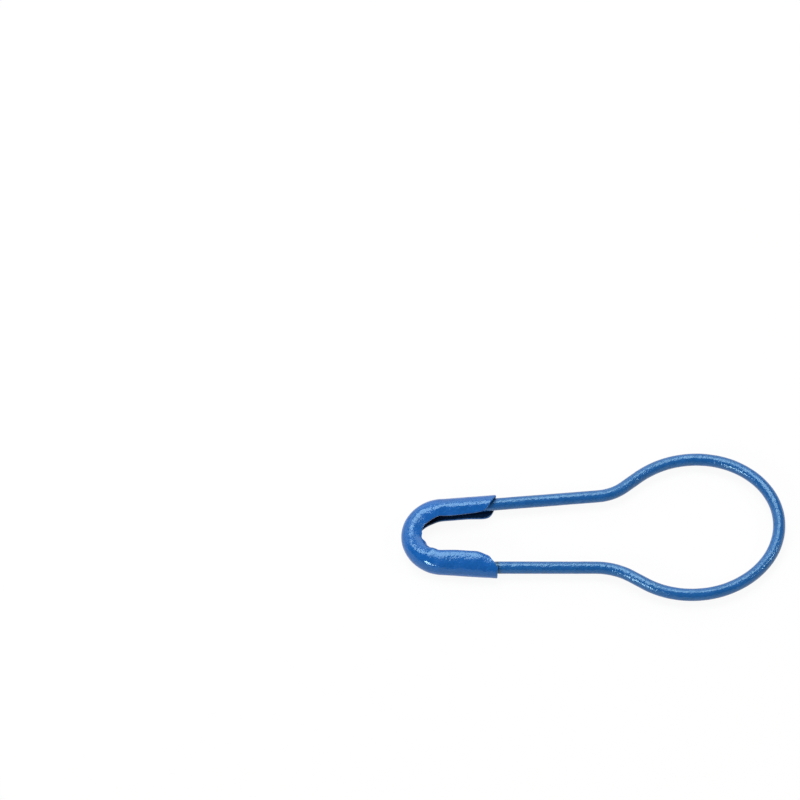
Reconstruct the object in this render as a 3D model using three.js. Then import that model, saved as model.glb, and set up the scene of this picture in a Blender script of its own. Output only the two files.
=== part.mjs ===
// A bulb safety pin of the kind used as a stitch marker and for hang tags.
// One spring-steel wire is bent into a bulb-shaped loop with two legs. A clasp, folded from thin sheet into a
// channel and bent into a U, is crimped onto the blunt leg. The pointed leg springs into its other arm.
// Sizes are in millimetres. The pin lies flat: X runs across it, Y along it towards the loop, and Z is up.
// The origin is the middle of the pin's outline, on the surface that it lies on. The pointed leg is at -X.

import * as THREE from "three";

const degrees = THREE.MathUtils.degToRad;

// Driving dimensions of the wire
const overallLength = 22.0;
const wireDiameter = 0.68;
const loopLongRadius = 4.95; // the loop is a slightly long ellipse, measured to the wire's centreline
const loopShortRadius = 4.52;
const loopTilt = degrees(19.5); // of the ellipse's long axis, towards the pointed leg's side
const needleShoulderAngle = degrees(36.6); // between each shoulder and the pin's axis
const fixedShoulderAngle = degrees(35);
const neckSpread = 4.9; // between the legs' centrelines, as far below the loop's centre as neckDrop
const neckDrop = 4.6;
const needleNeckRadius = 2.8; // of the centreline
const fixedNeckRadius = 3.8;
const legLean = degrees(2.65); // each leg leans in towards the clasp
const legOffset = 0.115; // of the middle between the legs from the loop's centre, away from the pointed leg
const pointLength = 1.9;
const pointTipRadius = 0.04;
const pointPower = 1.4; // 1 is a cone, and more is a rounder taper
const needleEndGap = 0.4; // between the point and the clasp's inside, straight on
const bluntEndDepth = 2.6; // of the crimped leg inside the clasp
const crimpBendRadius = 5.0; // where the crimped leg turns to lie along its arm of the clasp

// Driving dimensions of the clasp
const needleArmReach = 5.5; // from the foot of the clasp's crown to the arm's end, along the pin
const crimpArmReach = 5.3;
const crimpArmLean = degrees(6.6);
const sheetThickness = 0.15;
const seatGap = 0.02; // between each leg and the spine that it lies against
const crimpEndGap = 0.09; // between the crimped leg and the spine at the arm's flared end
const channelPlay = 0.1; // above and below the needle, inside the spine's round
const mouthPlay = 0.06; // above and below the needle, between the lips
const crimpLipGap = 0.05; // between the crimped flaps' edges
const needleFlapDepth = 1.33; // at the arm's end; flap depths are measured from the outside of the spine
const needleFlapRootDepth = 1.45; // where the arm meets the crown
const needleUnderFlapDepth = 1.06;
const crownFlapDepth = 1.12;
const crownUnderFlapDepth = 0.9;
const crimpFlapDepth = 1.47;
const needleEndCut = 0.72; // the corners of each arm's end are cut back this far, and rounded
const crimpEndCut = 0.64;
const needleCutPower = 5; // 2 is a wide round at the end of the cut, and more is a tighter one
const crimpCutPower = 3;
const needleEndWrap = degrees(62); // how far round the wire the sheet reaches at the arm's very end
const crimpEndWrap = degrees(75);
const puckerDepth = 0.06; // the crown's inner edges pucker where the bend squeezes them
const puckerCount = 3;

// Where along the crown, from 0 at the needle's arm to 1 at the crimped arm, its section changes
const lipsOpenUntil = 0.3;
const upperFlapSpan = [0.2, 0.58];
const underFlapSpan = [0.02, 0.35];
const crimpSpan = [0.7, 1.08];
const puckerSpan = [0.45, 0.98];

// Fineness of the facets
const wireSides = 16;
const wireStep = 0.4;
const pointSteps = 5;
const cornerReach = 1.6; // the rings are closest together over this much of each arm's end
const cornerSteps = 10;
const armSteps = 4;
const crownSteps = 34;
const flapSteps = 11; // from the middle of the spine to each lip

const wireRadius = wireDiameter / 2;
const centre = new THREE.Vector2(0, 0);
const up = new THREE.Vector3(0, 0, 1);

// Layout, seen from above, with X and Y measured from the loop's centre. The crimped leg's side is 1, and the
// pointed leg's is -1. Y is moved to the middle of the outline when the solids are made.
const crownHeight =
  Math.hypot(loopShortRadius * Math.sin(loopTilt), loopLongRadius * Math.cos(loopTilt)) + wireRadius;
const claspFoot = crownHeight - overallLength;
const needleArmTop = claspFoot + needleArmReach;
const crimpArmTop = claspFoot + crimpArmReach;
const outlineMiddle = crownHeight - overallLength / 2;

// A direction that runs down the pin and leans in from a side
const leaning = (side, lean) => new THREE.Vector2(-side * Math.sin(lean), -Math.cos(lean));

// The point of a leg's centreline at height y
function onLeg(side, y) {
  const reach = neckSpread / 2 + (y + neckDrop) * Math.tan(legLean);
  return new THREE.Vector2(legOffset + side * reach, y);
}

// Where the line through a in direction u crosses the line through b in direction v
function crossing(a, u, b, v) {
  const apart = b.clone().sub(a);
  return a.clone().addScaledVector(u, apart.cross(v) / u.cross(v));
}

const shoulderAngle = (side) => (side > 0 ? fixedShoulderAngle : needleShoulderAngle);
const neckRadius = (side) => (side > 0 ? fixedNeckRadius : needleNeckRadius);

// Where the loop's ellipse runs straight on into a shoulder: the angle on the ellipse, and the point
function shoulderTop(side) {
  const along = leaning(side, shoulderAngle(side)).rotateAround(centre, -loopTilt);
  const angle = Math.atan2(side * loopLongRadius * along.x, -side * loopShortRadius * along.y);
  const point = new THREE.Vector2(loopShortRadius * Math.cos(angle), loopLongRadius * Math.sin(angle));
  return { angle, point: point.rotateAround(centre, loopTilt) };
}

function neckCorner(side) {
  const { point } = shoulderTop(side);
  return crossing(point, leaning(side, shoulderAngle(side)), onLeg(side, 0), leaning(side, legLean));
}

// The loop ends, and the legs begin, in the middle of each shoulder's straight part
function shoulderMiddle(side) {
  const angle = shoulderAngle(side);
  const neckStart = neckRadius(side) * Math.tan((angle - legLean) / 2);
  const straightEnd = neckCorner(side).addScaledVector(leaning(side, angle), -neckStart);
  return shoulderTop(side).point.lerp(straightEnd, 0.5);
}

// The outside of the clasp's spine is straight along each arm, and its round crown touches both arms and the foot
const needleSpineEnd = onLeg(-1, needleArmTop);
needleSpineEnd.x -= (wireRadius + seatGap + sheetThickness) / Math.cos(legLean);
const crimpSpineEnd = onLeg(1, crimpArmTop);
crimpSpineEnd.x += (wireRadius + crimpEndGap + sheetThickness) / Math.cos(legLean);
const footSpread =
  crimpSpineEnd.x -
  crimpArmReach * Math.tan(crimpArmLean) -
  (needleSpineEnd.x + needleArmReach * Math.tan(legLean));
const roundTo = (lean) => 1 / Math.cos(lean) - Math.tan(lean);
const crownRadius = footSpread / (roundTo(legLean) + roundTo(crimpArmLean));
const crownCentre = new THREE.Vector2(
  needleSpineEnd.x +
    (needleArmReach - crownRadius) * Math.tan(legLean) +
    crownRadius / Math.cos(legLean),
  claspFoot + crownRadius,
);
const armLength = (reach, lean) => (reach - crownRadius * (1 - Math.sin(lean))) / Math.cos(lean);
const needleArmLength = armLength(needleArmReach, legLean);
const crimpArmLength = armLength(crimpArmReach, crimpArmLean);
const crownLength = crownRadius * (Math.PI - legLean - crimpArmLean);
const spineLength = needleArmLength + crownLength + crimpArmLength;

// The channel is widest over the needle, and the wire's middle is half its height above the ground
const channelHalfHeight = wireRadius + channelPlay + sheetThickness;
const crimpHalfHeight = wireRadius + seatGap + sheetThickness;
const wireHeight = channelHalfHeight;

// A closed solid through a row of rings. Point k of a ring lies across from point (last - k), which closes the
// ends.
function loft(rings) {
  const count = rings[0].length;
  const corners = rings.flat().flatMap((p) => [p.x, p.y, p.z]);
  const faces = [];
  const quad = (a, b, c, d) => faces.push(a, b, c, a, c, d);
  for (let i = 0; i + 1 < rings.length; i++) {
    for (let k = 0; k < count; k++) {
      const next = (k + 1) % count;
      quad(i * count + k, i * count + next, (i + 1) * count + next, (i + 1) * count + k);
    }
  }
  const end = (rings.length - 1) * count;
  for (let k = 0; k < count / 2 - 1; k++) {
    const across = count - 1 - k;
    quad(across, across - 1, k + 1, k);
    quad(end + k, end + k + 1, end + across - 1, end + across);
  }
  const geometry = new THREE.BufferGeometry();
  geometry.setAttribute("position", new THREE.Float32BufferAttribute(corners, 3));
  geometry.setIndex(faces);
  geometry.computeVertexNormals();
  return geometry;
}

// The point at a share of a flat path's length, and the direction to the left of its travel
function stationOf(path, share) {
  const at = path.getPoint(share);
  const along = path.getTangent(share);
  return {
    at: new THREE.Vector3(at.x, at.y - outlineMiddle, wireHeight),
    left: new THREE.Vector3(-along.y, along.x, 0),
  };
}

// Shares from 0 to 1, evenly spread
const spread = (count) => Array.from({ length: count + 1 }, (_, i) => i / count);

// Straight lines through the points, with a radius at each corner
function roundedPath(points, radii) {
  const path = new THREE.Path();
  path.moveTo(points[0].x, points[0].y);
  radii.forEach((radius, i) => {
    const corner = points[i + 1];
    const arriving = corner.clone().sub(points[i]).normalize();
    const leaving = points[i + 2].clone().sub(corner).normalize();
    const turn = Math.atan2(arriving.cross(leaving), arriving.dot(leaving));
    const start = corner.clone().addScaledVector(arriving, -radius * Math.tan(Math.abs(turn) / 2));
    const inward = new THREE.Vector2(-arriving.y, arriving.x).multiplyScalar(Math.sign(turn));
    const middle = start.clone().addScaledVector(inward, radius);
    const from = Math.atan2(-inward.y, -inward.x);
    path.lineTo(start.x, start.y);
    path.absarc(middle.x, middle.y, radius, from, from + turn, turn < 0);
  });
  const last = points[points.length - 1];
  path.lineTo(last.x, last.y);
  return path;
}

function loopPath() {
  const [right, left] = [shoulderTop(1), shoulderTop(-1)];
  const path = new THREE.Path();
  path.moveTo(shoulderMiddle(1).x, shoulderMiddle(1).y);
  path.lineTo(right.point.x, right.point.y);
  path.absellipse(0, 0, loopShortRadius, loopLongRadius, right.angle, left.angle, false, loopTilt);
  path.lineTo(shoulderMiddle(-1).x, shoulderMiddle(-1).y);
  return path;
}

// The crimped leg runs straight into the clasp and then turns a little to lie along the arm's spine
function fixedLegPath() {
  const down = leaning(1, crimpArmLean);
  const inward = new THREE.Vector2(down.y, -down.x);
  const seat = crimpSpineEnd.clone().addScaledVector(inward, crimpHalfHeight);
  const bend = crossing(onLeg(1, 0), leaning(1, legLean), seat, down);
  const bluntEnd = seat.clone().addScaledVector(down, bluntEndDepth);
  return roundedPath([shoulderMiddle(1), neckCorner(1), bend, bluntEnd], [fixedNeckRadius, crimpBendRadius]);
}

// The pointed leg stops short of the inside of the clasp's crown, which is straight ahead of it
function needlePath() {
  const down = leaning(-1, legLean);
  const level = onLeg(-1, crownCentre.y);
  const fromCentre = level.clone().sub(crownCentre);
  const nearest = fromCentre.dot(down);
  const inside = crownRadius - sheetThickness;
  const ahead = Math.sqrt(nearest ** 2 - fromCentre.lengthSq() + inside ** 2) - nearest;
  const point = level.addScaledVector(down, ahead - needleEndGap);
  return roundedPath([shoulderMiddle(-1), neckCorner(-1), point], [needleNeckRadius]);
}

// A round ring of the wire, counterclockwise seen from ahead
function wireRing(path, share, radius) {
  const { at, left } = stationOf(path, share);
  return Array.from({ length: wireSides }, (_, k) => {
    const turn = ((k + 0.5) * 2 * Math.PI) / wireSides;
    return at
      .clone()
      .addScaledVector(left, radius * Math.cos(turn))
      .addScaledVector(up, radius * Math.sin(turn));
  });
}

function evenWire(path) {
  const shares = spread(Math.ceil(path.getLength() / wireStep));
  return loft(shares.map((share) => wireRing(path, share, wireRadius)));
}

// The needle is ground to a point, a little rounded at the very tip
function needleArm() {
  const path = needlePath();
  const length = path.getLength();
  const pointShare = pointLength / length;
  const shaft = spread(Math.ceil((length - pointLength) / wireStep)).map((t) => t * (1 - pointShare));
  const point = spread(pointSteps)
    .slice(1)
    .map((t) => 1 - pointShare * (1 - t));
  const radiusAt = (share) => {
    const along = Math.max(0, (share - 1 + pointShare) / pointShare);
    return pointTipRadius + (wireRadius - pointTipRadius) * (1 - along ** pointPower);
  };
  return loft([...shaft, ...point].map((share) => wireRing(path, share, radiusAt(share))));
}

// The U that the outside of the clasp's spine follows, from the needle arm's end to the crimped arm's end
function spinePath() {
  const path = new THREE.Path();
  const start = Math.PI + legLean;
  path.moveTo(needleSpineEnd.x, needleSpineEnd.y);
  path.lineTo(
    crownCentre.x + crownRadius * Math.cos(start),
    crownCentre.y + crownRadius * Math.sin(start),
  );
  path.absarc(crownCentre.x, crownCentre.y, crownRadius, start, 2 * Math.PI - crimpArmLean, false);
  path.lineTo(crimpSpineEnd.x, crimpSpineEnd.y);
  return path;
}

// How far the flaps lean towards each other, so that their inner edges end lipGap / 2 from the middle plane
function flapLean(halfHeight, depth, lipGap) {
  const inner = halfHeight - sheetThickness;
  const edge = (lean) => {
    const flap = (depth - halfHeight * (1 + Math.sin(lean))) / Math.cos(lean);
    return inner * Math.cos(lean) - flap * Math.sin(lean);
  };
  let low = 0;
  let high = Math.PI / 4;
  while (high - low > 1e-9) {
    const middle = (low + high) / 2;
    if (edge(middle) > lipGap / 2) low = middle;
    else high = middle;
  }
  return low;
}

const mouthLean = flapLean(channelHalfHeight, needleFlapDepth, wireDiameter + 2 * mouthPlay);
const crimpLean = flapLean(crimpHalfHeight, crimpFlapDepth, crimpLipGap);

// The width of sheet, from the middle of the spine to the lip, that makes a flap of this depth
function sheetWidth(halfHeight, lean, depth) {
  const wrapped = (halfHeight - sheetThickness / 2) * (Math.PI / 2 + lean);
  return wrapped + (depth - halfHeight * (1 + Math.sin(lean))) / Math.cos(lean);
}

// The fold at a distance along the spine: its half height, the flaps' lean, and the sheet's width each way
function foldAt(distance) {
  const { lerp, smoothstep, clamp } = THREE.MathUtils;
  const onCrown = (distance - needleArmLength) / crownLength;
  const lipsOpen = 1 - smoothstep(onCrown, 0, lipsOpenUntil);
  const crimped = smoothstep(onCrown, ...crimpSpan);
  const halfHeight = lerp(channelHalfHeight, crimpHalfHeight, crimped);
  const lean = lipsOpen * mouthLean + crimped * crimpLean;

  const puckerShare = clamp((onCrown - puckerSpan[0]) / (puckerSpan[1] - puckerSpan[0]), 0, 1);
  const pucker =
    puckerDepth * Math.sin(Math.PI * puckerShare) * Math.sin(2 * Math.PI * puckerCount * puckerShare);

  const widthOf = (endDepth, rootDepth, crownDepth, span) => {
    const onArm = lerp(endDepth, rootDepth, clamp(distance / needleArmLength, 0, 1));
    const open = lerp(onArm, crownDepth, smoothstep(onCrown, ...span));
    return sheetWidth(halfHeight, lean, lerp(open, crimpFlapDepth, crimped) + pucker);
  };

  // Each arm's end is cut from the part that wraps the spine to the sheet's full width
  const [fromEnd, wrap, cut, power] =
    onCrown < 0.5
      ? [distance, needleEndWrap, needleEndCut, needleCutPower]
      : [spineLength - distance, crimpEndWrap, crimpEndCut, crimpCutPower];
  const least = (halfHeight - sheetThickness / 2) * wrap;
  const uncut = fromEnd / cut / (1 + (fromEnd / cut) ** power) ** (1 / power);
  const upper = widthOf(needleFlapDepth, needleFlapRootDepth, crownFlapDepth, upperFlapSpan);
  const under = widthOf(
    needleUnderFlapDepth,
    needleUnderFlapDepth,
    crownUnderFlapDepth,
    underFlapSpan,
  );
  return {
    halfHeight,
    lean,
    upperWidth: lerp(least, upper, uncut),
    underWidth: lerp(least, under, uncut),
  };
}

// A point of the folded sheet. Width runs from the spine's middle round to a lip, positive upwards, and side is 1
// on the outside and -1 on the inside. Depth goes into the U from the outside of the spine.
function sheetPoint(fold, width, side) {
  const middleRadius = fold.halfHeight - sheetThickness / 2;
  const surfaceRadius = middleRadius + (side * sheetThickness) / 2;
  const endTurn = Math.PI / 2 + fold.lean;
  const turn = Math.min(Math.abs(width) / middleRadius, endTurn);
  const flat = Math.max(0, Math.abs(width) - middleRadius * endTurn);
  return {
    depth: fold.halfHeight - surfaceRadius * Math.cos(turn) + flat * Math.cos(fold.lean),
    height: Math.sign(width) * (surfaceRadius * Math.sin(turn) - flat * Math.sin(fold.lean)),
  };
}

// A closed ring round the sheet's section: over the outside from the upper lip to the lower, and back inside
function sheetRing(path, distance) {
  const fold = foldAt(distance);
  const { at, left } = stationOf(path, distance / spineLength);
  const widths = [];
  for (let i = flapSteps; i >= -flapSteps; i--) {
    widths.push((i / flapSteps) * (i > 0 ? fold.upperWidth : fold.underWidth));
  }
  const place = (width, side) => {
    const { depth, height } = sheetPoint(fold, width, side);
    return at.clone().addScaledVector(left, depth).addScaledVector(up, height);
  };
  return [...widths.map((w) => place(w, 1)), ...widths.reverse().map((w) => place(w, -1))];
}

// Distances along the spine, closest together round the cut corners and the crown
function spineStations() {
  const corner = spread(cornerSteps).map((t) => cornerReach * t ** 1.5);
  const arm = (length) =>
    spread(armSteps)
      .slice(1, -1)
      .map((t) => cornerReach + (length - cornerReach) * t);
  const crown = spread(crownSteps).map((t) => needleArmLength + crownLength * t);
  const fromCrimpEnd = [...corner, ...arm(crimpArmLength)];
  return [
    ...corner,
    ...arm(needleArmLength),
    ...crown,
    ...fromCrimpEnd.reverse().map((distance) => spineLength - distance),
  ];
}

function clasp() {
  const path = spinePath();
  return loft(spineStations().map((distance) => sheetRing(path, distance)));
}

const wireEnamel = () => new THREE.MeshStandardMaterial({ color: 0x3a73af, roughness: 0.38, metalness: 0.1 });
const claspEnamel = () => new THREE.MeshStandardMaterial({ color: 0x3470b4, roughness: 0.34, metalness: 0.1 });

function named(name, geometry, material) {
  const mesh = new THREE.Mesh(geometry, material);
  mesh.name = name;
  return mesh;
}

const pin = new THREE.Group();
pin.add(
  named("bulb_loop", evenWire(loopPath()), wireEnamel()),
  named("fixed_leg", evenWire(fixedLegPath()), wireEnamel()),
  named("needle_arm", needleArm(), wireEnamel()),
  named("clasp", clasp(), claspEnamel()),
);

export default pin;
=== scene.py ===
"""A bulb safety pin: a painted spring wire in a folded and crimped sheet clasp, lying on a pale floor."""

import math

import bpy
import numpy as np
from mathutils import Matrix, Vector, noise


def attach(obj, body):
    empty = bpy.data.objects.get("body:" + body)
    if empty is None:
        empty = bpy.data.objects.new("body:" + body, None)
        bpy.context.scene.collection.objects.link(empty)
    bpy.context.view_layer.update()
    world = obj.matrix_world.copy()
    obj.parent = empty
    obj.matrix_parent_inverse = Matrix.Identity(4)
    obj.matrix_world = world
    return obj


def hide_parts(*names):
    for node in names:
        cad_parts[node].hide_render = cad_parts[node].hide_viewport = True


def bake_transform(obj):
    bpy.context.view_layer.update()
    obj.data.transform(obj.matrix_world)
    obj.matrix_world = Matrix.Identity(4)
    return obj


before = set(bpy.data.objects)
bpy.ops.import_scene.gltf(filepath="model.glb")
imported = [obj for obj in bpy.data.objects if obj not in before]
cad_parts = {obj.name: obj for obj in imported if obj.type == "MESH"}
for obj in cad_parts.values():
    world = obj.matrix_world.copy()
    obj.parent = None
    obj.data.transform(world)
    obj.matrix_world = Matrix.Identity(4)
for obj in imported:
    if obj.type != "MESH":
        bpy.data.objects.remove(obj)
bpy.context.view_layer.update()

MM = 0.001

# The wire, in millimetres, as in the CAD. The crimped leg's side is 1, and the pointed leg's is -1.
OVERALL_LENGTH = 22.0
WIRE_RADIUS = 0.34
LOOP_LONG_RADIUS = 4.95
LOOP_SHORT_RADIUS = 4.52
LOOP_TILT = math.radians(19.5)
SHOULDER_ANGLE = {1: math.radians(35), -1: math.radians(36.6)}
NECK_SPREAD = 4.9
NECK_DROP = 4.6
NECK_RADIUS = {1: 3.8, -1: 2.8}
LEG_LEAN = math.radians(2.65)
LEG_OFFSET = 0.115
POINT_LENGTH = 1.9
POINT_TIP_RADIUS = 0.04
POINT_POWER = 1.4
NEEDLE_END_GAP = 0.4
BLUNT_END_DEPTH = 2.6
CRIMP_BEND_RADIUS = 5.0

# The clasp, in millimetres, as in the CAD. Flap depths are measured from the outside of the spine.
NEEDLE_ARM_REACH = 5.5
CRIMP_ARM_REACH = 5.3
CRIMP_ARM_LEAN = math.radians(6.6)
SHEET = 0.15
SEAT_GAP = 0.02
CRIMP_END_GAP = 0.09
CHANNEL_PLAY = 0.1
MOUTH_PLAY = 0.06
CRIMP_LIP_GAP = 0.05
NEEDLE_FLAP_DEPTH = 1.33
NEEDLE_FLAP_ROOT_DEPTH = 1.45
NEEDLE_UNDER_FLAP_DEPTH = 1.06
CROWN_UNDER_FLAP_DEPTH = 0.9
PUCKER_DEPTH = 0.06
PUCKER_COUNT = 3

# The clasp's lower side, where it differs from the CAD
CRIMP_UNDER_FLAP_DEPTH = 1.33
MOUTH_WIDENING = 0.13
MOUTH_SPAN = (0.3, 1.9)  # along the spine from the needle arm's end

# The clasp's upper side in section: how far along the sheet from the middle of its spine, and how far it has
# turned there from standing upright, in degrees. Past the last turn it runs on straight.
ARM_SECTION = ((0, 0), (1.037, 90), (1.237, 116))
CROWN_SECTION = ((0, 0), (0.60, 90), (0.85, 107))
CRIMP_SECTION = ((0, 0), (0.65, 61), (1.24, 86), (1.38, 150), (1.6, 168))
SECTION_REACH = 2.2
SECTION_POINTS = 221

# How far along the sheet the upper side's lip is from the middle of the spine
ARM_WIDTH = 1.566
CROWN_WIDTH = 1.27
CRIMP_WIDTH = 1.8
CRIMP_LIP_REST = 0.26  # what the crimped arm's upper flap still turns down to the lower one

# Where the crimped side's inner bend lies near the crimp's two ends, as a share of its place in the section
CRIMP_START_BEND = 0.86
CRIMP_START_BUMP = 0.06
CRIMP_END_BEND = 0.8

# Where along the crown the clasp changes, from 0 at the needle's arm to 1 at the crimped arm
LIPS_OPEN_UNTIL = 0.3
UPPER_FLAP_SPAN = (-0.1, 0.38)
UNDER_FLAP_SPAN = (0.1, 0.42)
PUCKER_SPAN = (0.45, 0.98)
CRIMP_SPAN = (0.7, 1.08)
CRIMP_SECTION_SPAN = (0.42, 0.86)
CRIMP_WIDTH_SPAN = (0.5, 1.04)
CRIMP_LIP_START_SPAN = (0.8, 1.1)
CRIMP_START_BEND_SPAN = (0.72, 1.14)
CRIMP_START_BUMP_PLACE = (0.865, 0.04)  # its middle and its spread
SWELL_SPAN = (-0.05, 0.2)

# The same for the crimped arm, in millimetres from its end
CRIMP_LIP_END_SPAN = (0.4, 1.6)
CRIMP_END_BEND_SPAN = (0.35, 1.3)

# How each flap is cut back at its arm's end: how far, how tight the round is, and how far round the wire the
# sheet still reaches at the very end
NEEDLE_UPPER_CUT = (0.72, 5, math.radians(62))
NEEDLE_UNDER_CUT = (0.42, 3, math.radians(62))
CRIMP_UPPER_CUT = (0.88, 1.5, math.radians(66))
CRIMP_UNDER_CUT = (0.64, 3, math.radians(75))

# The worn edge of the blunt end: how far in, and the share of the wire's radius
BLUNT_EDGE = np.array([[0, 0.8], [0.006, 0.9], [0.02, 0.96], [0.045, 0.99], [0.08, 1]])

# The round of the needle's tip, in tip radii: how far past the line's end, and the radius
TIP_ROUND = np.array([[0.5, 0.87], [0.87, 0.5], [1.0, 0.08]])

# What paint and bending add, in millimetres
ENAMEL = 0.014  # to the wire's radius outside the crimp
ENAMEL_FADE = 0.4
SWELL = 0.05  # how far the crown and the crimped arm bulge past the plain fold

# Low unevenness: the height, the fineness along and across the piece, and the seed of each noise
WIRE_LUMPS = ((0.005, (0.9, 1.6, 1.6), 1), (0.0022, (3.0, 3.6, 3.6), 2))
CLASP_DENTS = ((0.010, (0.7, 0.9, 1), 3), (0.004, (2.4, 2.4, 1), 4))
NOISE_SHIFT = (17.3, 5.1, 9.7)  # from one seed to the next

# The ripples, small folds and wrinkles of the crown's flaps, with their places along the crown
FLAP_START = 1.2  # how far from the spine's middle they start, in half heights of the fold
RIPPLE_START = 0.12
RIPPLE_LENGTH = 0.9
RIPPLE_COUNT = 5.5
RIPPLE_SHIFT = 0.6
RIPPLE_HEIGHT = 0.010
FOLDS_PLACE = (0.86, 0.07)  # their middle and their spread
FOLD_PITCH = 0.068
FOLD_SWING = 1.2  # how much the ripples push the folds to and fro
FOLD_HEIGHT = 0.015
WRINKLE_FINENESS = (3.1, 1.7, 1)
WRINKLE_SEED = 5
WRINKLE_HEIGHT = 0.009

# Fineness of the meshes
ARC_STEP = math.radians(1)
LEAST_ARC_STEPS = 8
LOOP_POINTS = 400
WIRE_SIDES = 40
WIRE_STEP = 0.09
POINT_RINGS = 25
POINT_RING_POWER = 0.8  # under 1 brings the rings closer together towards the tip
SHEET_STEP = 0.07
SHEET_STEPS_ACROSS = 64
EDGE_ROUND = 0.05
EDGE_STEPS = 4
LEAST_HALF_SHEET = 0.002  # keeps the sheet's two sides apart at its rounded edges
SAME_POINT = 1e-9
HALVINGS = 40


def lerp(a, b, t):
    return a + (b - a) * t


def smoothstep(x, low, high):
    t = np.clip((x - low) / (high - low), 0, 1)
    return t * t * (3 - 2 * t)


def bell(x, middle, spread):
    return np.exp(-(((x - middle) / spread) ** 2))


# The layout, seen from above, in millimetres from the loop's centre


def xy(x, y):
    return np.array([x, y], float)


def cross(a, b):
    return a[0] * b[1] - a[1] * b[0]


def unit(a):
    return a / np.hypot(*a)


def turned(point, angle):
    c, s = math.cos(angle), math.sin(angle)
    return xy(c * point[0] - s * point[1], s * point[0] + c * point[1])


def leaning(side, lean):
    """A direction that runs down the pin and leans in from a side."""
    return xy(-side * math.sin(lean), -math.cos(lean))


def on_leg(side, y):
    """The point of a leg's centreline at height y."""
    return xy(LEG_OFFSET + side * (NECK_SPREAD / 2 + (y + NECK_DROP) * math.tan(LEG_LEAN)), y)


def crossing(a, u, b, v):
    """Where the line through a along u meets the line through b along v."""
    return a + u * cross(b - a, v) / cross(u, v)


def on_loop(angle):
    return turned(xy(LOOP_SHORT_RADIUS * math.cos(angle), LOOP_LONG_RADIUS * math.sin(angle)), LOOP_TILT)


def shoulder_angle_on_loop(side):
    """Where on the loop the wire runs in its shoulder's direction."""
    along = turned(leaning(side, SHOULDER_ANGLE[side]), -LOOP_TILT)
    return math.atan2(side * LOOP_LONG_RADIUS * along[0], -side * LOOP_SHORT_RADIUS * along[1])


def neck_corner(side):
    """Where the shoulder's line meets the leg's, before the neck is rounded."""
    top = on_loop(shoulder_angle_on_loop(side))
    return crossing(top, leaning(side, SHOULDER_ANGLE[side]), on_leg(side, 0), leaning(side, LEG_LEAN))


CROWN_HEIGHT = (
    math.hypot(LOOP_SHORT_RADIUS * math.sin(LOOP_TILT), LOOP_LONG_RADIUS * math.cos(LOOP_TILT))
    + WIRE_RADIUS
)
CLASP_FOOT = CROWN_HEIGHT - OVERALL_LENGTH
OUTLINE_MIDDLE = CROWN_HEIGHT - OVERALL_LENGTH / 2

needle_spine_end = on_leg(-1, CLASP_FOOT + NEEDLE_ARM_REACH)
needle_spine_end[0] -= (WIRE_RADIUS + SEAT_GAP + SHEET) / math.cos(LEG_LEAN)
crimp_spine_end = on_leg(1, CLASP_FOOT + CRIMP_ARM_REACH)
crimp_spine_end[0] += (WIRE_RADIUS + CRIMP_END_GAP + SHEET) / math.cos(LEG_LEAN)
foot_spread = (
    crimp_spine_end[0]
    - CRIMP_ARM_REACH * math.tan(CRIMP_ARM_LEAN)
    - needle_spine_end[0]
    - NEEDLE_ARM_REACH * math.tan(LEG_LEAN)
)
CROWN_RADIUS = foot_spread / sum(1 / math.cos(a) - math.tan(a) for a in (LEG_LEAN, CRIMP_ARM_LEAN))
CROWN_CENTRE = xy(
    needle_spine_end[0]
    + (NEEDLE_ARM_REACH - CROWN_RADIUS) * math.tan(LEG_LEAN)
    + CROWN_RADIUS / math.cos(LEG_LEAN),
    CLASP_FOOT + CROWN_RADIUS,
)


def arm_length(reach, lean):
    """The straight part of an arm's spine."""
    return (reach - CROWN_RADIUS * (1 - math.sin(lean))) / math.cos(lean)


NEEDLE_ARM_LENGTH = arm_length(NEEDLE_ARM_REACH, LEG_LEAN)
CRIMP_ARM_LENGTH = arm_length(CRIMP_ARM_REACH, CRIMP_ARM_LEAN)
CROWN_LENGTH = CROWN_RADIUS * (math.pi - LEG_LEAN - CRIMP_ARM_LEAN)
SPINE_LENGTH = NEEDLE_ARM_LENGTH + CROWN_LENGTH + CRIMP_ARM_LENGTH
CHANNEL_HALF_HEIGHT = WIRE_RADIUS + CHANNEL_PLAY + SHEET
CRIMP_HALF_HEIGHT = WIRE_RADIUS + SEAT_GAP + SHEET
WIRE_HEIGHT = CHANNEL_HALF_HEIGHT


# Paths


def arc(centre, radius, start, turn):
    count = max(LEAST_ARC_STEPS, math.ceil(abs(turn) / ARC_STEP))
    angles = start + turn * np.linspace(0, 1, count + 1)
    return [centre + radius * xy(math.cos(a), math.sin(a)) for a in angles]


def rounded(points, radii):
    """Straight lines through the points, with a radius at each corner."""
    line = [points[0]]
    for before, corner, after, radius in zip(points, points[1:], points[2:], radii):
        arriving, leaving = unit(corner - before), unit(after - corner)
        turn = math.atan2(cross(arriving, leaving), arriving @ leaving)
        start = corner - arriving * radius * math.tan(abs(turn) / 2)
        inward = xy(-arriving[1], arriving[0]) * math.copysign(1, turn)
        line += arc(start + inward * radius, radius, math.atan2(-inward[1], -inward[0]), turn)
    return line + [points[-1]]


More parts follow.
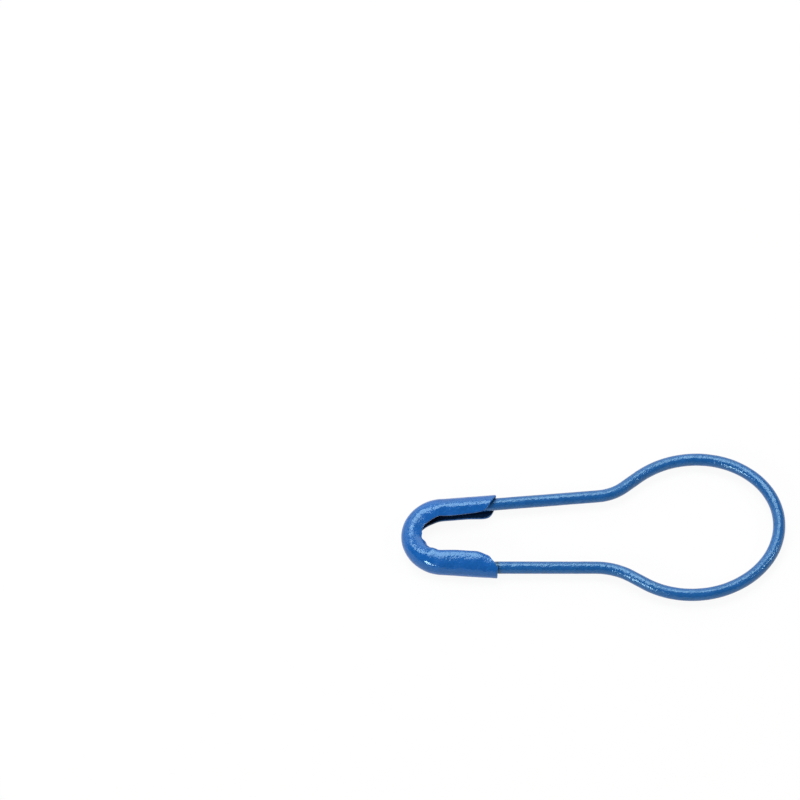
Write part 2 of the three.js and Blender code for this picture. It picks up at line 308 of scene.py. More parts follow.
def resample(line, stations):
    """Points at these distances along a line, with the direction to the left of its travel."""
    line = np.array(line)
    lengths = np.hypot(*np.diff(line, axis=0).T)
    line = line[np.r_[True, lengths > SAME_POINT]]
    lengths = lengths[lengths > SAME_POINT]
    at = np.r_[0, np.cumsum(lengths)]
    along = np.diff(line, axis=0) / lengths[:, None]
    middles = (at[:-1] + at[1:]) / 2
    points = np.stack([np.interp(stations, at, line[:, i]) for i in (0, 1)], 1)
    travel = np.stack([np.interp(stations, middles, along[:, i]) for i in (0, 1)], 1)
    travel /= np.hypot(*travel.T)[:, None]
    return points, np.stack([-travel[:, 1], travel[:, 0]], 1)


def length_of(line):
    return float(np.hypot(*np.diff(np.array(line), axis=0).T).sum())


def needle_point():
    """Where the needle's line ends, a gap short of the inside of the crown."""
    ahead = leaning(-1, LEG_LEAN)
    level = on_leg(-1, CROWN_CENTRE[1])
    from_centre = level - CROWN_CENTRE
    nearest = from_centre @ ahead
    inside = CROWN_RADIUS - SHEET
    reach = math.sqrt(nearest**2 - from_centre @ from_centre + inside**2) - nearest
    return level + ahead * (reach - NEEDLE_END_GAP)


def wire_line():
    """The whole wire's centreline, from the blunt end in the clasp, round the loop, to the point."""
    down = leaning(1, CRIMP_ARM_LEAN)
    seat = crimp_spine_end + xy(down[1], -down[0]) * CRIMP_HALF_HEIGHT
    bend = crossing(on_leg(1, 0), leaning(1, LEG_LEAN), seat, down)
    blunt_end = seat + down * BLUNT_END_DEPTH
    right, left = shoulder_angle_on_loop(1), shoulder_angle_on_loop(-1)
    left += 2 * math.pi if left < right else 0
    fixed = rounded([blunt_end, bend, neck_corner(1), on_loop(right)], [CRIMP_BEND_RADIUS, NECK_RADIUS[1]])
    loop = [on_loop(a) for a in np.linspace(right, left, LOOP_POINTS)]
    needle = rounded([on_loop(left), neck_corner(-1), needle_point()], [NECK_RADIUS[-1]])
    return fixed + loop[1:-1] + needle


def spine_line():
    """The outside of the clasp's spine, from the needle arm's end to the crimped arm's end."""
    crown = arc(CROWN_CENTRE, CROWN_RADIUS, math.pi + LEG_LEAN, math.pi - LEG_LEAN - CRIMP_ARM_LEAN)
    return [needle_spine_end] + crown + [crimp_spine_end]


# Meshes


def all_round(values, count):
    """Each station's value, the same all round it."""
    return np.repeat(values[:, None], count, 1)


def value_noise(points, fineness, seed):
    """Smooth noise from about -1 to 1 at each point."""
    shift = Vector([seed * s for s in NOISE_SHIFT])
    flat = points.reshape(-1, 3) * np.array(fineness)
    return np.array([noise.noise(Vector(p) + shift) for p in flat]).reshape(points.shape[:-1])


def unevenness(points, layers):
    return sum(height * value_noise(points, fineness, seed) for height, fineness, seed in layers)


def placed(at, left, sideways, height):
    """Points in the part's frame, so far to the left of a line and so far above the wire's centre."""
    points = np.empty(sideways.shape + (3,))
    points[..., 0] = at[:, None, 0] + sideways * left[:, None, 0]
    points[..., 1] = at[:, None, 1] + sideways * left[:, None, 1] - OUTLINE_MIDDLE
    points[..., 2] = np.maximum(0, WIRE_HEIGHT + height)
    return points


def lofted(name, rings, close_ends):
    """A closed mesh through rings of points in millimetres. close_ends lists its end faces."""
    count, around = rings.shape[:2]
    index = np.arange(count * around).reshape(count, around)
    here, ahead = index[:-1], index[1:]
    quads = np.stack([here, np.roll(here, -1, 1), np.roll(ahead, -1, 1), ahead], -1).reshape(-1, 4)
    faces = quads.tolist() + close_ends(index)
    mesh = bpy.data.meshes.new(name)
    mesh.from_pydata((rings.reshape(-1, 3) * MM).tolist(), [], faces)
    mesh.validate()
    mesh.shade_smooth()
    piece = bpy.data.objects.new(name, mesh)
    bpy.context.scene.collection.objects.link(piece)
    return piece


def store(piece, name, values):
    """Keeps a number or a vector for each of a mesh's points, for its material."""
    kind, field = ("FLOAT_VECTOR", "vector") if values.ndim == 3 else ("FLOAT", "value")
    stored = piece.data.attributes.new(name, kind, "POINT")
    stored.data.foreach_set(field, values.astype(np.float32).ravel())


# The wire. Where it comes out of the crimp a painted shade darkens it, and its spans are in millimetres from
# there.
PAINTED_CRIMP_SHADE_GROWS = (-0.35, -0.05)
PAINTED_CRIMP_SHADE_CLEARS = (0.0, 0.08)


def wire_rings(length):
    """How far along the wire each ring is, and its radius. The last rings lie past the line's end."""
    blunt, blunt_share = BLUNT_EDGE.T
    past_end, tip_radius = TIP_ROUND.T
    shaft_end = length - POINT_LENGTH
    shaft = np.linspace(blunt[-1], shaft_end, math.ceil(shaft_end / WIRE_STEP))
    point = length - POINT_LENGTH * (1 - np.linspace(0, 1, POINT_RINGS + 1)[1:] ** POINT_RING_POWER)
    tip = length + POINT_TIP_RADIUS * past_end
    stations = np.r_[blunt[:-1], shaft, point, tip]

    along_point = np.clip((stations - length + POINT_LENGTH) / POINT_LENGTH, 0, 1)
    radius = POINT_TIP_RADIUS + (WIRE_RADIUS - POINT_TIP_RADIUS) * (1 - along_point**POINT_POWER)
    radius[-len(tip) :] = POINT_TIP_RADIUS * tip_radius
    enamelled = smoothstep(stations, BLUNT_END_DEPTH - ENAMEL_FADE, BLUNT_END_DEPTH)
    radius *= 1 + ENAMEL / WIRE_RADIUS * enamelled
    radius[: len(blunt)] *= blunt_share
    return stations, radius


def wire_ends(index):
    return [index[0, ::-1].tolist(), index[-1].tolist()]


def make_wire():
    line = wire_line()
    length = length_of(line)
    stations, radius = wire_rings(length)
    at, left = resample(line, np.minimum(stations, length))
    ahead = np.stack([left[:, 1], -left[:, 0]], 1)
    at = at + ahead * np.maximum(0, stations - length)[:, None]

    turn = np.arange(WIRE_SIDES) * 2 * np.pi / WIRE_SIDES
    beside, above = np.cos(turn), np.sin(turn)
    along = all_round(stations, WIRE_SIDES)
    laid = np.stack([along, radius[:, None] * beside, radius[:, None] * above], -1)
    thick = radius[:, None] + unevenness(laid, WIRE_LUMPS) * (radius / WIRE_RADIUS)[:, None]

    wire = lofted("wire", placed(at, left, thick * beside, thick * above), wire_ends)
    store(wire, "laid", laid)
    # The painted shade on the wire where it goes into the crimp
    from_crimp = along - BLUNT_END_DEPTH
    painted_crimp_shade = (1 - smoothstep(from_crimp, *PAINTED_CRIMP_SHADE_CLEARS)) * smoothstep(from_crimp, *PAINTED_CRIMP_SHADE_GROWS)
    store(wire, "painted_crimp_shade", painted_crimp_shade)
    return wire


# The clasp. The polished corner lies on the crown's upper side, by the share of the crown and the width.
POLISHED_CORNER = (0.8, 0.35)
POLISHED_REACH = (0.2, 0.5)
POLISH_FADES = (0.5, 1.0)
STRETCH_STARTS = (0.0, 0.25)
STRETCH_ENDS = (0.9, 1.1)
WORN_WIDTH = 0.09


def flap_lean(half_height, depth, lip_gap):
    """The lean of two flaps of this depth that leaves this gap between their lips, found by halving."""
    inner = half_height - SHEET
    low, high = 0.0, math.pi / 4
    for _ in range(HALVINGS):
        lean = (low + high) / 2
        flap = (depth - half_height * (1 + math.sin(lean))) / math.cos(lean)
        if inner * math.cos(lean) - flap * math.sin(lean) > lip_gap / 2:
            low = lean
        else:
            high = lean
    return low


MOUTH_LEAN = flap_lean(CHANNEL_HALF_HEIGHT, NEEDLE_FLAP_DEPTH, 2 * (WIRE_RADIUS + MOUTH_PLAY))
CRIMP_LEAN = flap_lean(CRIMP_HALF_HEIGHT, CRIMP_UNDER_FLAP_DEPTH, CRIMP_LIP_GAP)


def fold_at(distance):
    """The fold at each distance along the spine: half height, lean, and the sheet's width each way."""
    on_crown = (distance - NEEDLE_ARM_LENGTH) / CROWN_LENGTH
    crimped = smoothstep(on_crown, *CRIMP_SPAN)
    half_height = lerp(CHANNEL_HALF_HEIGHT, CRIMP_HALF_HEIGHT, crimped)
    middle_radius = half_height - SHEET / 2
    lean = (1 - smoothstep(on_crown, 0, LIPS_OPEN_UNTIL)) * MOUTH_LEAN + crimped * CRIMP_LEAN
    share = np.clip((on_crown - PUCKER_SPAN[0]) / (PUCKER_SPAN[1] - PUCKER_SPAN[0]), 0, 1)
    pucker = PUCKER_DEPTH * np.sin(np.pi * share) * np.sin(2 * np.pi * PUCKER_COUNT * share)

    on_needle_side = on_crown < 0.5
    from_end = np.where(on_needle_side, distance, SPINE_LENGTH - distance)

    def cut_to(full, needle_cut, crimp_cut):
        cut, power, wrap = (np.where(on_needle_side, a, b) for a, b in zip(needle_cut, crimp_cut))
        uncut = from_end / cut / (1 + (from_end / cut) ** power) ** (1 / power)
        return lerp(middle_radius * wrap, full, uncut)

    root_share = np.clip(distance / NEEDLE_ARM_LENGTH, 0, 1)
    upper = ARM_WIDTH + root_share * (NEEDLE_FLAP_ROOT_DEPTH - NEEDLE_FLAP_DEPTH)
    upper = lerp(upper, CROWN_WIDTH, smoothstep(on_crown, *UPPER_FLAP_SPAN))
    upper = lerp(upper, CRIMP_WIDTH, smoothstep(on_crown, *CRIMP_WIDTH_SPAN)) + pucker
    upper = cut_to(upper, NEEDLE_UPPER_CUT, CRIMP_UPPER_CUT)
    lip_rest = CRIMP_LIP_REST * smoothstep(SPINE_LENGTH - distance, *CRIMP_LIP_END_SPAN)
    upper = upper + lip_rest * smoothstep(on_crown, *CRIMP_LIP_START_SPAN)

    depth = NEEDLE_UNDER_FLAP_DEPTH + MOUTH_WIDENING * (1 - smoothstep(distance, *MOUTH_SPAN))
    depth = lerp(depth, CROWN_UNDER_FLAP_DEPTH, smoothstep(on_crown, *UNDER_FLAP_SPAN))
    depth = lerp(depth, CRIMP_UNDER_FLAP_DEPTH, crimped) + pucker
    under = middle_radius * (np.pi / 2 + lean) + (depth - half_height * (1 + np.sin(lean))) / np.cos(lean)
    under = cut_to(under, NEEDLE_UNDER_CUT, CRIMP_UNDER_CUT)
    return on_crown, half_height, lean, upper, under


def turned_at(section, along):
    """How far a section has turned at each distance along it."""
    at, angles = zip(*section)
    return np.interp(along, at, np.radians(angles))


def crimp_bend(on_crown):
    """Where the crimped side's inner bend lies, as a share of its place in the section."""
    from_end = SPINE_LENGTH - NEEDLE_ARM_LENGTH - on_crown * CROWN_LENGTH
    start = lerp(CRIMP_START_BEND, 1, smoothstep(on_crown, *CRIMP_START_BEND_SPAN))
    end = lerp(CRIMP_END_BEND, 1, smoothstep(from_end, *CRIMP_END_BEND_SPAN))
    return start * end + CRIMP_START_BUMP * bell(on_crown, *CRIMP_START_BUMP_PLACE)


def summed(slopes, step):
    """The way gone, from 0, along each row of slopes."""
    steps = (slopes[:, 1:] + slopes[:, :-1]) / 2 * step
    return np.concatenate([np.zeros((len(slopes), 1)), np.cumsum(steps, axis=1)], 1)


def upper_curve(on_crown, widths):
    """The middle surface of the upper side: its depth, height and turn at each width of each station."""
    along = np.linspace(0, SECTION_REACH, SECTION_POINTS)
    open_share = (1 - smoothstep(on_crown, 0, LIPS_OPEN_UNTIL))[:, None]
    crimp_share = smoothstep(on_crown, *CRIMP_SECTION_SPAN)[:, None]
    crimp_along = along[None, :] / crimp_bend(on_crown)[:, None]
    turn = lerp(turned_at(CROWN_SECTION, along), turned_at(ARM_SECTION, along), open_share)
    turn = lerp(turn, turned_at(CRIMP_SECTION, crimp_along), crimp_share)
    curves = summed(np.sin(turn), along[1]), summed(np.cos(turn), along[1]), turn
    return [np.stack([np.interp(w, along, row) for w, row in zip(widths, rows)]) for rows in curves]


def upper_side(on_crown, width, off):
    """Depth from the spine's outside, and height, of points off the upper side's middle surface."""
    depth, height, turn = upper_curve(on_crown, np.maximum(0, width))
    return SHEET / 2 + depth - off * np.cos(turn), height + off * np.sin(turn)


def lower_side(half_height, lean, width, off):
    """The same for the lower side, which is the CAD's plain fold: a round spine and a straight flap."""
    middle_radius = (half_height - SHEET / 2)[:, None]
    end_turn = (np.pi / 2 + lean)[:, None]
    turn = np.minimum(np.abs(width) / middle_radius, end_turn)
    flat = np.maximum(0, np.abs(width) - middle_radius * end_turn)
    depth = half_height[:, None] - (middle_radius + off) * np.cos(turn) + flat * np.cos(lean)[:, None]
    height = flat * np.sin(lean)[:, None] - (middle_radius + off) * np.sin(turn)
    return depth, height


edge_angles = np.linspace(0, math.pi / 2, EDGE_STEPS + 1)
EDGE_IN = EDGE_ROUND * (1 - np.cos(edge_angles))
EDGE_OFF = EDGE_ROUND * np.sin(edge_angles)


def sheet_across(upper, under, half_at):
    """Each station's points, from the upper lip to the lower outside the sheet, and back inside it.

    They have a width from the spine's middle, over 0 upwards, and a distance off the middle surface.
    """
    share = np.linspace(0, 1, SHEET_STEPS_ACROSS + 1)[1:-1]
    from_upper, from_lower = (upper - EDGE_ROUND)[:, None], (under - EDGE_ROUND)[:, None]
    surface = lerp(from_upper, -from_lower, share[None, :])
    first = upper[:, None] - EDGE_IN[None, :]
    last = -(under[:, None] - EDGE_IN[None, ::-1])
    width = np.concatenate([first, surface, last], 1)
    lift = np.concatenate([EDGE_OFF, np.full(share.shape, EDGE_ROUND), EDGE_OFF[::-1]])
    off = np.maximum(LEAST_HALF_SHEET, half_at[:, None] - EDGE_ROUND + lift[None, :])
    return np.concatenate([width, width[:, ::-1]], 1), np.concatenate([off, -off[:, ::-1]], 1)


def dents_at(on_crown, half_height, upper, under, laid):
    """How far the sheet is pushed out: low dents, and ripples, folds and wrinkles near the crown's lips."""
    width = laid[..., 1]
    lip = np.where(width > 0, upper[:, None], under[:, None])
    near_lip = smoothstep(np.abs(width), half_height[:, None] * FLAP_START, lip)
    share = np.clip((on_crown - RIPPLE_START) / RIPPLE_LENGTH, 0, 1)
    ripple = np.sin(np.pi * share) * np.sin(2 * np.pi * RIPPLE_COUNT * share + RIPPLE_SHIFT)
    wrinkles = value_noise(laid, WRINKLE_FINENESS, WRINKLE_SEED) * np.sin(np.pi * share)[:, None]
    folds = bell(on_crown, *FOLDS_PLACE) * np.sin(2 * np.pi * on_crown / FOLD_PITCH + FOLD_SWING * ripple)
    folds = np.where(width > 0, folds[:, None], 0)
    near = RIPPLE_HEIGHT * ripple[:, None] + FOLD_HEIGHT * folds + WRINKLE_HEIGHT * wrinkles
    return unevenness(laid, CLASP_DENTS) + near * near_lip


def sheet_ends(index):
    """Faces over the sheet's two cut ends, each between two points outside it and the two inside them."""
    k = np.arange(index.shape[1] // 2 - 1)
    first, last = index[0], index[-1]
    near = np.stack([first[-1 - k], first[-2 - k], first[k + 1], first[k]], 1)
    far = np.stack([last[k], last[k + 1], last[-2 - k], last[-1 - k]], 1)
    return near.tolist() + far.tolist()


def make_clasp():
    inner = np.linspace(EDGE_ROUND, SPINE_LENGTH - EDGE_ROUND, math.ceil(SPINE_LENGTH / SHEET_STEP))
    stations = np.r_[EDGE_IN[:-1], inner, SPINE_LENGTH - EDGE_IN[:-1][::-1]]
    from_end = np.minimum(stations, SPINE_LENGTH - stations)
    rounding = EDGE_ROUND - np.minimum(from_end, EDGE_ROUND)
    half_at = SHEET / 2 - EDGE_ROUND + np.sqrt(EDGE_ROUND**2 - rounding**2)

    on_crown, half_height, lean, upper, under = fold_at(stations)
    width, off = sheet_across(upper, under, half_at)
    around = width.shape[1]
    laid = np.stack([all_round(stations, around), width, np.zeros_like(width)], -1)
    dents = dents_at(on_crown, half_height, upper, under, laid)
    pushed = off + dents + SWELL * smoothstep(on_crown, *SWELL_SPAN)[:, None]

    upper_depth, upper_height = upper_side(on_crown, width, pushed)
    lower_depth, lower_height = lower_side(half_height, lean, width, pushed)
    depth = np.where(width < 0, lower_depth, upper_depth)
    height = np.where(width < 0, lower_height, upper_height)
    at, left = resample(spine_line(), stations)
    clasp = lofted("clasp_shell", placed(at, left, depth, height), sheet_ends)

    store(clasp, "inner", np.clip(0.5 - off / SHEET, 0, 1))
    from_lip = np.minimum(upper[:, None] - width, width + under[:, None])
    from_edge = np.minimum(from_lip, all_round(from_end, around))
    store(clasp, "edge", 1 - smoothstep(from_edge, 0.0, WORN_WIDTH))
    crown_away = (on_crown[:, None] - POLISHED_CORNER[0]) / POLISHED_REACH[0]
    width_away = (width - POLISHED_CORNER[1]) / POLISHED_REACH[1]
    store(clasp, "polished", 1 - smoothstep(np.hypot(crown_away, width_away), *POLISH_FADES))
    stretched = smoothstep(on_crown, *STRETCH_STARTS) * (1 - smoothstep(on_crown, *STRETCH_ENDS))
    store(clasp, "stretched", all_round(stretched, around))
    return clasp


# Materials


def put(tree, kind, values=None, **settings):
    """Adds a node. Values are for its inputs, by name or number, and may be other nodes' outputs."""
    made = tree.nodes.new(kind)
    for key, value in settings.items():
        setattr(made, key, value)
    for key, value in (values or {}).items():
        if isinstance(value, bpy.types.NodeSocket):
            tree.links.new(value, made.inputs[key])
        else:
            made.inputs[key].default_value = value
    return made


def math_of(tree, operation, a, b, clamp=False):
    return put(tree, "ShaderNodeMath", {0: a, 1: b}, operation=operation, use_clamp=clamp).outputs[0]


def times(tree, a, b):
    return math_of(tree, "MULTIPLY", a, b)


def mix(tree, share, a, b):
    return put(tree, "ShaderNodeMix", {0: share, 6: a, 7: b}, data_type="RGBA").outputs[2]


def ramp(tree, value, low, high, to_low=0.0, to_high=1.0):
    """A smooth change from to_low to to_high while the value goes from low to high."""
    values = {0: value, 1: low, 2: high, 3: to_low, 4: to_high}
    return put(tree, "ShaderNodeMapRange", values, interpolation_type="SMOOTHSTEP").outputs[0]


def scaled(tree, vector, scale):
    return put(tree, "ShaderNodeVectorMath", {0: vector, 1: scale}, operation="MULTIPLY").outputs[0]


def in_millimetres(tree):
    """Each point's own place in its piece, in millimetres."""
    return scaled(tree, put(tree, "ShaderNodeTexCoord").outputs["Object"], (1 / MM,) * 3)


def noise_of(tree, vector, fineness, detail=2.0, roughness=0.5):
    values = {"Vector": vector, "Scale": fineness, "Detail": detail, "Roughness": roughness}
    return put(tree, "ShaderNodeTexNoise", values).outputs[0]


def specks(tree, vector, fineness, rare, size):
    """Small scattered spots: rare is the share of the cells that have one."""
    cells = put(tree, "ShaderNodeTexVoronoi", {"Vector": vector, "Scale": fineness, "Randomness": 1.0})
    parts = put(tree, "ShaderNodeSeparateColor", {0: cells.outputs["Color"]})
    chosen = ramp(tree, parts.outputs[0], 1 - rare, 1 - rare + SPECK_STEP)
    spot = ramp(tree, cells.outputs["Distance"], size, size * SPECK_CORE)
    return times(tree, chosen, spot)


def attribute(tree, name, output="Fac"):
    return put(tree, "ShaderNodeAttribute", attribute_name=name, attribute_type="GEOMETRY").outputs[output]


def lowered(tree, value, name, share):
    """The value, brought down to a share of itself where the stored number is 1."""
    return times(tree, value, ramp(tree, attribute(tree, name), 0.0, 1.0, 1.0, share))


def empty_material(name):
    material = bpy.data.materials.new(name)
    material.use_nodes = True
    material.node_tree.nodes.clear()
    return material


# The enamel's blues: deep, middle and pale
WIRE_BLUES = ((0.007, 0.080, 0.265, 1), (0.009, 0.090, 0.297, 1), (0.024, 0.137, 0.375, 1))
CLASP_BLUES = ((0.004, 0.080, 0.312, 1), (0.005, 0.090, 0.353, 1), (0.015, 0.134, 0.43, 1))

# Its noises: how many to the millimetre, the detail and the roughness
CLOUDS = (0.9, 3.0)
MOTTLE = (5.0, 3.0, 0.6)
GRAIN = (8.5, 1.5, 0.55)
PEEL = (3.4, 2.0)
STREAKS = (1.0, 3.0)
DULLNESS = (1.8, 2.0)
WIRE_STREAK_SCALE = (0.9, 8.0, 8.0)  # long along the wire
CLASP_STREAK_SCALE = (4.0, 4.0, 4.0)

# What the noises do to the colour, and its specks: how many to the millimetre, how rare and how large
CLOUDS_SPAN = (0.3, 0.7)
MOTTLE_SPAN = (0.45, 0.8)
MOTTLE_SHARE = 0.35
SPECK_STEP = 0.01  # how sharply the cells with a speck are told from the rest
SPECK_CORE = 0.5  # the share of a speck's size that has its full colour
DARK_SPECKS = (1.7, 0.05, 0.09)
DARK_SPECK_SHARE = 0.8
DARK_SPECK = (0.006, 0.012, 0.03, 1)
# Painted glints: pale specks in the colour that stand for the sparkle of the enamel's highlights
PAINTED_GLINT_SPECKS = (2.3, 0.05, 0.07)
PAINTED_GLINT_SHARE = 0.7
PAINTED_GLINT_COLOUR = (0.5, 0.62, 0.75, 1)

# Where the blue gives way: to painted shade where the wire enters the crimp and inside the clasp, and to
# wear on the clasp's worn edges
PAINTED_CRIMP_SHADE_SHARE = 0.75
PAINTED_CRIMP_SHADE_COLOUR = (0.003, 0.012, 0.03, 1)
# The clasp's dark inside is partly painted shade and partly its bare, unsprayed steel
INSIDE_SHADE_SPAN = (0.8, 1.0)
INSIDE_SHADE_SHARE = 0.92
INSIDE_SHADE_COLOUR = (0.004, 0.010, 0.026, 1)
WORN_SPAN = (0.5, 0.62)
WORN_SHARE = 0.25
WORN_COLOUR = (0.12, 0.26, 0.50, 1)

# Its gloss, and the heights of its relief in millimetres
DULLNESS_SPAN = (0.25, 0.75)
ROUGHNESS = (0.15, 0.25)
POLISHED_ROUGHNESS = 0.6
POLISHED_GRAIN = 0.4
STRETCHED_RELIEF = 0.62
WIRE_GRAIN_HEIGHT = 0.022
CLASP_GRAIN_HEIGHT = 0.0155
PEEL_HEIGHT = 0.03
STREAK_HEIGHT = 0.012
ENAMEL_IOR = 1.5
ENAMEL_SPECULAR = 0.74
ENAMEL_GLINT = (0.54, 0.89, 1.0, 1.0)


def enamel_colour(tree, where, mottle, blues):
    deep, middle, pale = blues
    clouds = noise_of(tree, where, *CLOUDS)
    colour = mix(tree, ramp(tree, clouds, *CLOUDS_SPAN), deep, middle)
    colour = mix(tree, ramp(tree, mottle, *MOTTLE_SPAN, 0.0, MOTTLE_SHARE), colour, pale)
    dark = times(tree, specks(tree, where, *DARK_SPECKS), DARK_SPECK_SHARE)
    # Pale specks of painted glint over the blue
    glint_specks = times(tree, specks(tree, where, *PAINTED_GLINT_SPECKS), PAINTED_GLINT_SHARE)
    return mix(tree, glint_specks, mix(tree, dark, colour, DARK_SPECK), PAINTED_GLINT_COLOUR)


def with_relief(tree, where, height, streak_scale):
    """Adds the paint's peel and streaks to the height of its grain."""
    peel = noise_of(tree, where, *PEEL)
    streaks = noise_of(tree, scaled(tree, where, streak_scale), *STREAKS)
    height = math_of(tree, "ADD", height, times(tree, peel, PEEL_HEIGHT))
    return math_of(tree, "ADD", height, times(tree, streaks, STREAK_HEIGHT))


def dullness(tree, where):
    return ramp(tree, noise_of(tree, where, *DULLNESS), *DULLNESS_SPAN, *ROUGHNESS)


def finish_enamel(tree, colour, roughness, height):
    bump = put(tree, "ShaderNodeBump", {"Strength": 1.0, "Distance": MM, "Height": height})
    values = {
        "Base Color": colour,
        "Roughness": roughness,
        "Normal": bump.outputs[0],
        "IOR": ENAMEL_IOR,
        "Specular IOR Level": ENAMEL_SPECULAR,
        "Specular Tint": ENAMEL_GLINT,
    }
    shader = put(tree, "ShaderNodeBsdfPrincipled", values)
    put(tree, "ShaderNodeOutputMaterial", {"Surface": shader.outputs[0]})


def wire_enamel():
    """Blue enamel on the wire, in millimetres along and round it, so that it bends with the wire."""
    material = empty_material("wire_enamel")
    tree = material.node_tree
    where = attribute(tree, "laid", "Vector")
    mottle = noise_of(tree, where, *MOTTLE)
    colour = enamel_colour(tree, where, mottle, WIRE_BLUES)
    # Painted shade darkens the wire where it enters the crimp
    painted_crimp_shade = times(tree, attribute(tree, "painted_crimp_shade"), PAINTED_CRIMP_SHADE_SHARE)
    colour = mix(tree, painted_crimp_shade, colour, PAINTED_CRIMP_SHADE_COLOUR)
    grain = times(tree, noise_of(tree, where, *GRAIN), WIRE_GRAIN_HEIGHT)
    height = with_relief(tree, where, grain, WIRE_STREAK_SCALE)
    finish_enamel(tree, colour, dullness(tree, where), height)
    return material


def clasp_enamel():
    """Blue enamel on the clasp: smoother where the crown is stretched, worn at the edges, and dark inside,
    which is partly painted shade and partly the bare, unsprayed inside.
    """
    material = empty_material("clasp_enamel")
    tree = material.node_tree
    where = in_millimetres(tree)
    mottle = noise_of(tree, where, *MOTTLE)
    colour = enamel_colour(tree, where, mottle, CLASP_BLUES)
    # Painted shade, with the bare steel, darkens the inside of the clasp
    inside = times(tree, ramp(tree, attribute(tree, "inner"), *INSIDE_SHADE_SPAN), INSIDE_SHADE_SHARE)
    colour = mix(tree, inside, colour, INSIDE_SHADE_COLOUR)
    worn = times(tree, attribute(tree, "edge"), ramp(tree, mottle, *WORN_SPAN))
    colour = mix(tree, times(tree, worn, WORN_SHARE), colour, WORN_COLOUR)

    roughness = lowered(tree, dullness(tree, where), "polished", POLISHED_ROUGHNESS)
    grain = times(tree, noise_of(tree, where, *GRAIN), CLASP_GRAIN_HEIGHT)
    grain = lowered(tree, grain, "polished", POLISHED_GRAIN)
    height = with_relief(tree, where, grain, CLASP_STREAK_SCALE)
    height = lowered(tree, height, "stretched", STRETCHED_RELIEF)
    finish_enamel(tree, colour, roughness, height)
    return material


FLOOR_FIBRE = (0.8, 2.0)
FLOOR_TONES = ((0.72, 0.72, 0.72, 1), (0.74, 0.74, 0.74, 1))
FLOOR_WHITE_SHARE = 0.92
WHITE = (1, 1, 1, 1)


def floor_material():
    """White paper: it lights the object and shows its shadow, but reads as white to the camera."""
    material = empty_material("white_paper")
    tree = material.node_tree
    path = put(tree, "ShaderNodeLightPath")
    seen = math_of(tree, "ADD", path.outputs["Is Camera Ray"], path.outputs["Is Glossy Ray"], clamp=True)
    seen = math_of(tree, "ADD", seen, path.outputs["Is Transmission Ray"], clamp=True)
    tone = mix(tree, noise_of(tree, in_millimetres(tree), *FLOOR_FIBRE), *FLOOR_TONES)
    matt = put(tree, "ShaderNodeBsdfDiffuse", {"Color": tone})
    white = put(tree, "ShaderNodeEmission", {"Color": WHITE, "Strength": 1.0})
    share = times(tree, seen, FLOOR_WHITE_SHARE)
    both = put(tree, "ShaderNodeMixShader", {0: share, 1: matt.outputs[0], 2: white.outputs[0]})
    put(tree, "ShaderNodeOutputMaterial", {"Surface": both.outputs[0]})
    return material


# The object.

wire = make_wire()
wire.data.materials.append(wire_enamel())
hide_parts("fixed_leg", "bulb_loop", "needle_arm")
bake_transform(wire)

clasp = make_clasp()
clasp.data.materials.append(clasp_enamel())
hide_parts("clasp")
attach(clasp, "frame")

# The floor, and a low wall round it, in metres
FLOOR_SIZE = 4.0
WALL_HEIGHT = 0.5
WALL_SIDES = 96

bpy.ops.mesh.primitive_plane_add(size=FLOOR_SIZE, location=(0, 0, 0))
floor = bpy.context.active_object
floor.name = "floor"
floor.data.materials.append(floor_material())

bpy.ops.mesh.primitive_cylinder_add(
    vertices=WALL_SIDES,
    radius=FLOOR_SIZE / 2,
    depth=WALL_HEIGHT,
    end_fill_type="NOTHING",
    location=(0, 0, WALL_HEIGHT / 2),
)
wall = bpy.context.active_object
wall.name = "backdrop"
wall.data.materials.append(floor.data.materials[0])

# The photograph looks down at the pin from the crimped leg's side. Lengths are in millimetres.
CAMERA_ELEVATION = math.radians(55.92)
CAMERA_TURN = math.radians(2.62)
CAMERA_DISTANCE = 237.65
CAMERA_TARGET = Vector((-9.518, -10.682, WIRE_HEIGHT))
CAMERA_LENS = 182.7
SENSOR_WIDTH = 36.0
CAMERA_RANGE = (0.01, 10.0)  # in metres

RIGHT = Vector((math.sin(CAMERA_TURN), math.cos(CAMERA_TURN), 0))
AWAY = Vector((-math.cos(CAMERA_TURN), math.sin(CAMERA_TURN), 0))
UP = Vector((0, 0, 1))

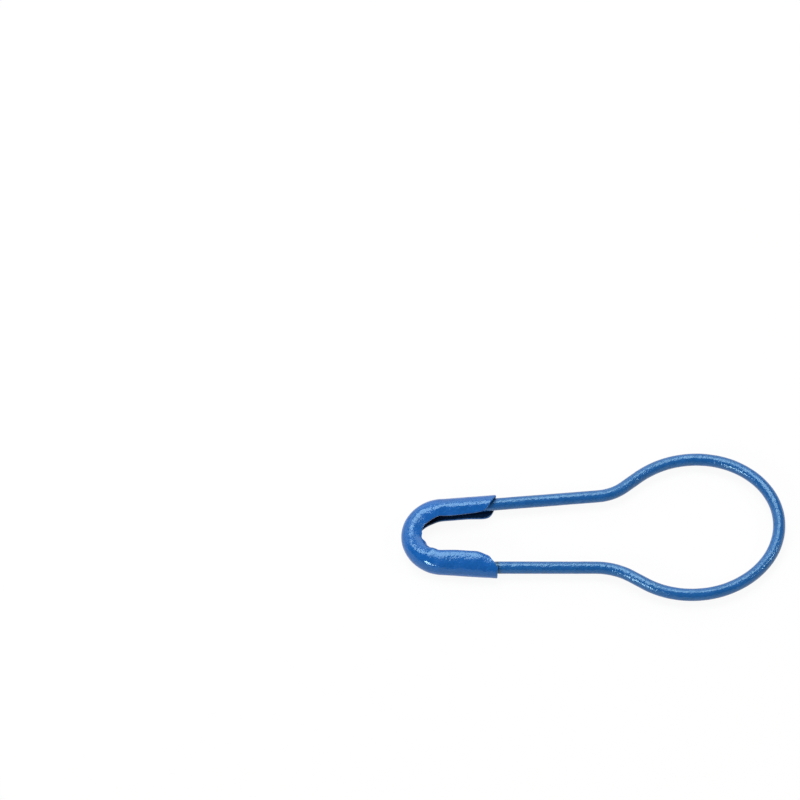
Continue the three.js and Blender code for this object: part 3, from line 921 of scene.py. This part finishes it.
# Each lamp's direction as it lies in the photograph, which is right, away and up, its size in millimetres
# and its brightness, where 1 is white. A size of one number is a round lamp's.
LAMPS = {
    "key": ((-0.14, 0.32, 0.945), (290.0, 172.0), 5.7),
    "behind": ((-0.10, 0.86, 0.50), (300.0, 150.0), 1.6),
    "left": ((-0.75, 0.48, 0.45), (150.0, 120.0), 1.2),
    "low_left": ((-0.62, -0.66, 0.45), (100.0, 64.0), 20.0),
    "right": ((0.78, 0.03, 0.62), 44.0, 40.0),
}
LAMP_DISTANCE = 300.0
SKY_LEVEL = 0.14


def seen_from(right, away, up):
    """A direction in the part's frame, from how it lies in the photograph."""
    return (RIGHT * right + AWAY * away + UP * up).normalized()


def softbox(name, towards, size, level):
    """A lamp in a direction from the object. Level is its own brightness, where 1 is white."""
    data = bpy.data.lights.new(name, "AREA")
    if isinstance(size, tuple):
        data.shape = "RECTANGLE"
        data.size, data.size_y = (s * MM for s in size)
        area = data.size * data.size_y
    else:
        data.shape = "DISK"
        data.size = size * MM
        area = math.pi * data.size**2 / 4
    data.energy = level * math.pi * area
    lamp = bpy.data.objects.new(name, data)
    lamp.location = towards * LAMP_DISTANCE * MM
    lamp.rotation_mode = "QUATERNION"
    lamp.rotation_quaternion = towards.to_track_quat("Z", "Y")
    bpy.context.scene.collection.objects.link(lamp)


for name, (direction, size, level) in LAMPS.items():
    softbox(name, seen_from(*direction), size, level)

world = bpy.data.worlds.new("studio")
bpy.context.scene.world = world
world.use_nodes = True
sky = world.node_tree
sky.nodes.clear()
backdrop = put(sky, "ShaderNodeBackground", {"Color": WHITE, "Strength": SKY_LEVEL})
put(sky, "ShaderNodeOutputWorld", {"Surface": backdrop.outputs[0]})

camera_data = bpy.data.cameras.new("camera")
camera_data.sensor_width = SENSOR_WIDTH
camera_data.lens = CAMERA_LENS
camera_data.clip_start, camera_data.clip_end = CAMERA_RANGE
camera = bpy.data.objects.new("camera", camera_data)
bpy.context.scene.collection.objects.link(camera)
back = AWAY * -math.cos(CAMERA_ELEVATION) + UP * math.sin(CAMERA_ELEVATION)
camera_axes = Matrix((RIGHT, back.cross(RIGHT), back)).transposed()
camera_place = (CAMERA_TARGET + back * CAMERA_DISTANCE) * MM
camera.matrix_world = Matrix.Translation(camera_place) @ camera_axes.to_4x4()
bpy.context.scene.camera = camera

bpy.context.scene.view_settings.view_transform = "Standard"
